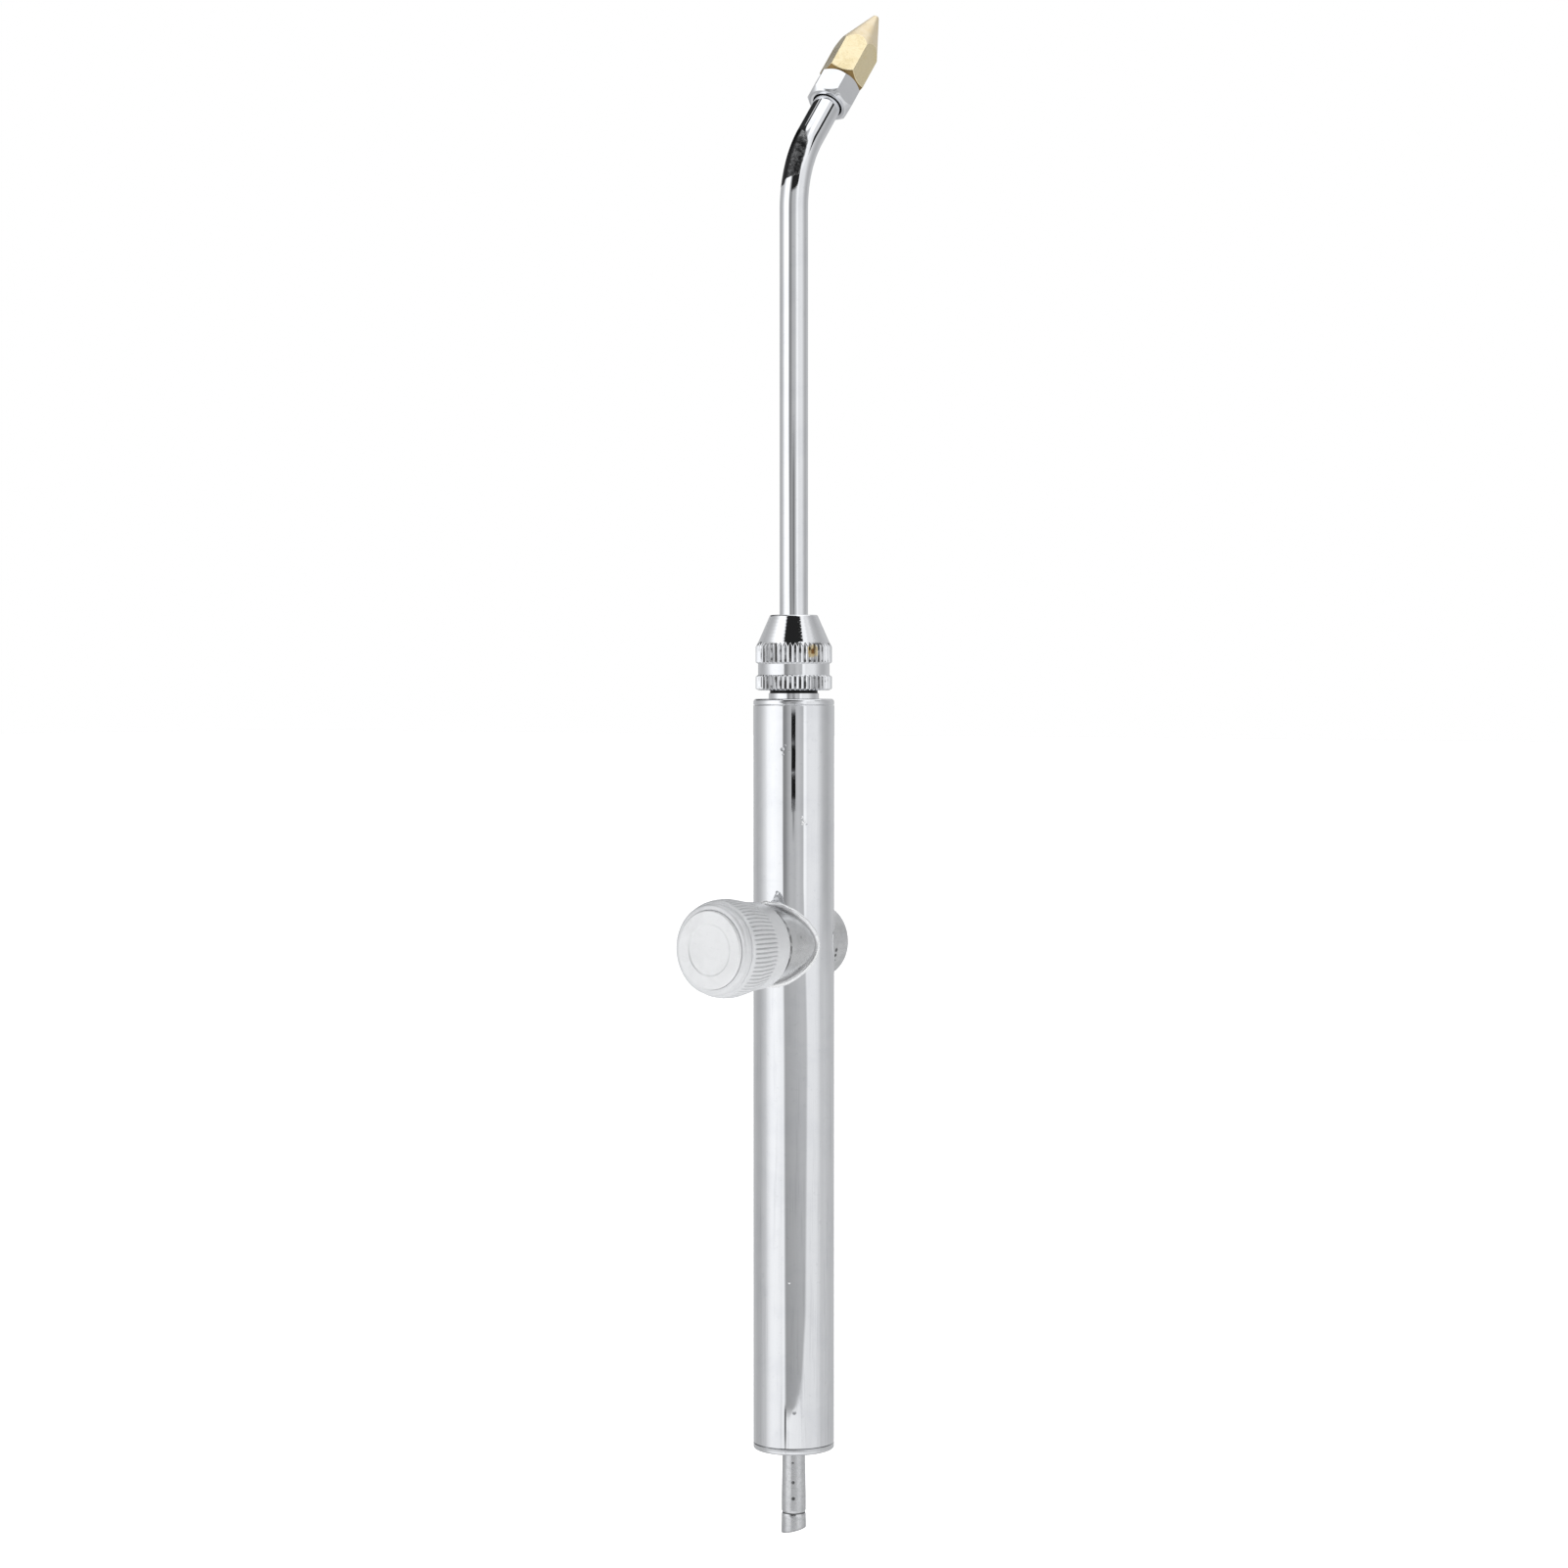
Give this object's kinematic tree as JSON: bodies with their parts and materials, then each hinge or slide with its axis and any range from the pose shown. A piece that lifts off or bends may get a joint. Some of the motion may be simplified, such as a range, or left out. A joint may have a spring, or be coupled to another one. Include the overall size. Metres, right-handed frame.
{
  "type": "jewelry soldering torch",
  "caption": "Slim hand-held gas torch: chromed tube handle, needle valve with ribbed side knob, knurled collet nut, bent neck and conical brass nozzle.",
  "frame": {"origin": "where the axis of the handle crosses the axis of the valve", "axes": "+Z along the handle towards the tip, -Y along the valve towards the knob, the neck bends towards +Y, X across"},
  "size_m": [0.0184, 0.053, 0.2904],
  "materials": {
    "chrome": "bright chrome plate on brass, with light handling marks",
    "brass": "turned and milled brass, bright, with fine tool marks",
    "knob_satin": "pale silver-grey moulded plastic, satin",
    "steel": "turned steel",
    "copper": "soft annealed copper ring",
    "packing": "white fluoropolymer packing",
    "rubber": "black rubber O-ring"
  },
  "bodies": {
    "handle": {"handle_tube": "chrome", "rear_plug": "chrome", "inlet_tube": "chrome", "valve_body": "chrome", "gland_packing": "packing", "gland_washer": "brass", "gland_nut": "brass", "outlet_tube": "brass", "front_plug": "chrome", "neck_seal": "rubber"},
    "needle": {"valve_needle": "steel"},
    "knob": {"spindle": "steel", "knob": "knob_satin", "knob_bush": "brass", "knob_screw": "steel", "knob_cap": "knob_satin"},
    "collet": {"collet": "brass"},
    "collet_nut": {"collet_nut": "chrome"},
    "neck": {"neck_tube": "chrome", "tip_adapter": "chrome"},
    "gasket": {"tip_gasket": "copper"},
    "nozzle": {"nozzle": "brass"}
  },
  "joints": [
    {"name": "needle_slide", "type": "slide", "parent": "handle", "child": "needle", "axis": [0, -1, 0], "range_m": [0, 0.0012]},
    {"name": "knob_turn", "type": "hinge", "parent": "needle", "child": "knob", "pos_m": [0, 0, 0], "axis": [0, -1, 0], "range_deg": [0, 540.02]},
    {"name": "collet_slide", "type": "slide", "parent": "handle", "child": "collet", "axis": [0, 0, 1], "range_m": [0, 0.00075]},
    {"name": "nut_turn", "type": "hinge", "parent": "collet", "child": "collet_nut", "pos_m": [0, 0, 0], "axis": [0, 0, 1], "range_deg": [0, 360.02]},
    {"name": "neck_swivel", "type": "hinge", "parent": "handle", "child": "neck", "pos_m": [0, 0, 0.05], "axis": [0, 0, 1], "continuous": true},
    {"name": "tip_lift", "type": "slide", "parent": "neck", "child": "gasket", "axis": [0, 0.6428, 0.766], "range_m": [0, 0.0032]},
    {"name": "tip_turn", "type": "hinge", "parent": "gasket", "child": "nozzle", "pos_m": [0, 0.01441, 0.16339], "axis": [0, 0.6428, 0.766], "range_deg": [0, 1440.05]}
  ],
  "couplings": [
    {"joint": "knob_turn", "follows": "needle_slide", "rad_per_m": 7854},
    {"joint": "nut_turn", "follows": "collet_slide", "rad_per_m": 8377.6},
    {"joint": "tip_turn", "follows": "tip_lift", "rad_per_m": 7854}
  ]
}
